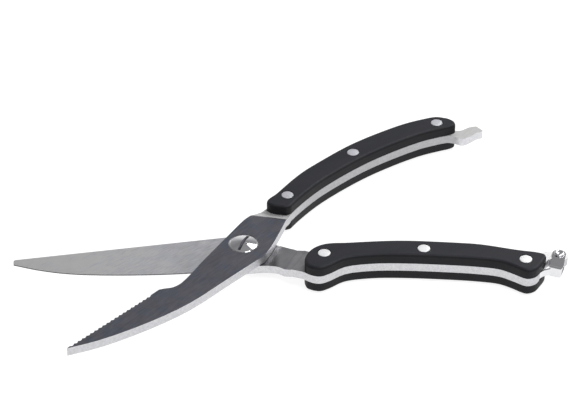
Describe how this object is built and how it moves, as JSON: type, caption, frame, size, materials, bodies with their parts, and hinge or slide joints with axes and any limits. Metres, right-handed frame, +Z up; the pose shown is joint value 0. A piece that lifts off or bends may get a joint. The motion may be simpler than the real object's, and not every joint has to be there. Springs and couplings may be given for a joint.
{
  "type": "poultry shears",
  "caption": "Sprung poultry shears lying open: plain blade, scalloped blade with a bone notch, black riveted handle scales, slotted pivot screw, and a stirrup latch at the tail.",
  "frame": {"origin": "middle of the footprint, on the surface that the shears lie on", "axes": "+Z up, square to the blades; +X along the plain half's handle, toward the latch; the plain blade points along -X"},
  "size_m": [0.251, 0.173, 0.0141],
  "materials": {
    "satin_blade_steel": "dark satin, as ground",
    "ground_blade_steel": "ground, with diagonal marks",
    "black_plastic": "fine matte, slightly soft",
    "rivet_steel": "satin",
    "chrome": "polished",
    "spring_steel": "drawn wire"
  },
  "bodies": {
    "plain_half": {"plain_blade_arm": "ground_blade_steel", "plain_top_scale": "black_plastic", "plain_bottom_scale": "black_plastic", "plain_rivet_tube_front": "rivet_steel", "plain_rivet_tube_middle": "rivet_steel", "plain_rivet_tube_rear": "rivet_steel", "plain_rivet_pin_front": "rivet_steel", "plain_rivet_pin_middle": "rivet_steel", "plain_rivet_pin_rear": "rivet_steel", "pivot_screw": "chrome", "pivot_washer": "rivet_steel", "pivot_nut": "rivet_steel", "return_spring": "spring_steel", "latch_pin": "chrome"},
    "serrated_half": {"serrated_blade_arm": "satin_blade_steel", "serrated_top_scale": "black_plastic", "serrated_bottom_scale": "black_plastic", "serrated_rivet_tube_front": "rivet_steel", "serrated_rivet_tube_middle": "rivet_steel", "serrated_rivet_tube_rear": "rivet_steel", "serrated_rivet_pin_front": "rivet_steel", "serrated_rivet_pin_middle": "rivet_steel", "serrated_rivet_pin_rear": "rivet_steel"},
    "latch": {"latch_stirrup": "chrome"}
  },
  "joints": [
    {"name": "blade_pivot", "type": "hinge", "parent": "plain_half", "child": "serrated_half", "pos_m": [-0.02145, -0.01285, 0.00705], "axis": [0, 0, -1], "range_deg": [0, 40.5], "stiffness_Nm_per_rad": 0.25, "springref_deg": -20.05, "deforming": ["return_spring"]},
    {"name": "latch_swing", "type": "hinge", "parent": "plain_half", "child": "latch", "pos_m": [0.12135, -0.01895, 0.00705], "axis": [0, 0, 1], "range_deg": [0, 172]}
  ]
}
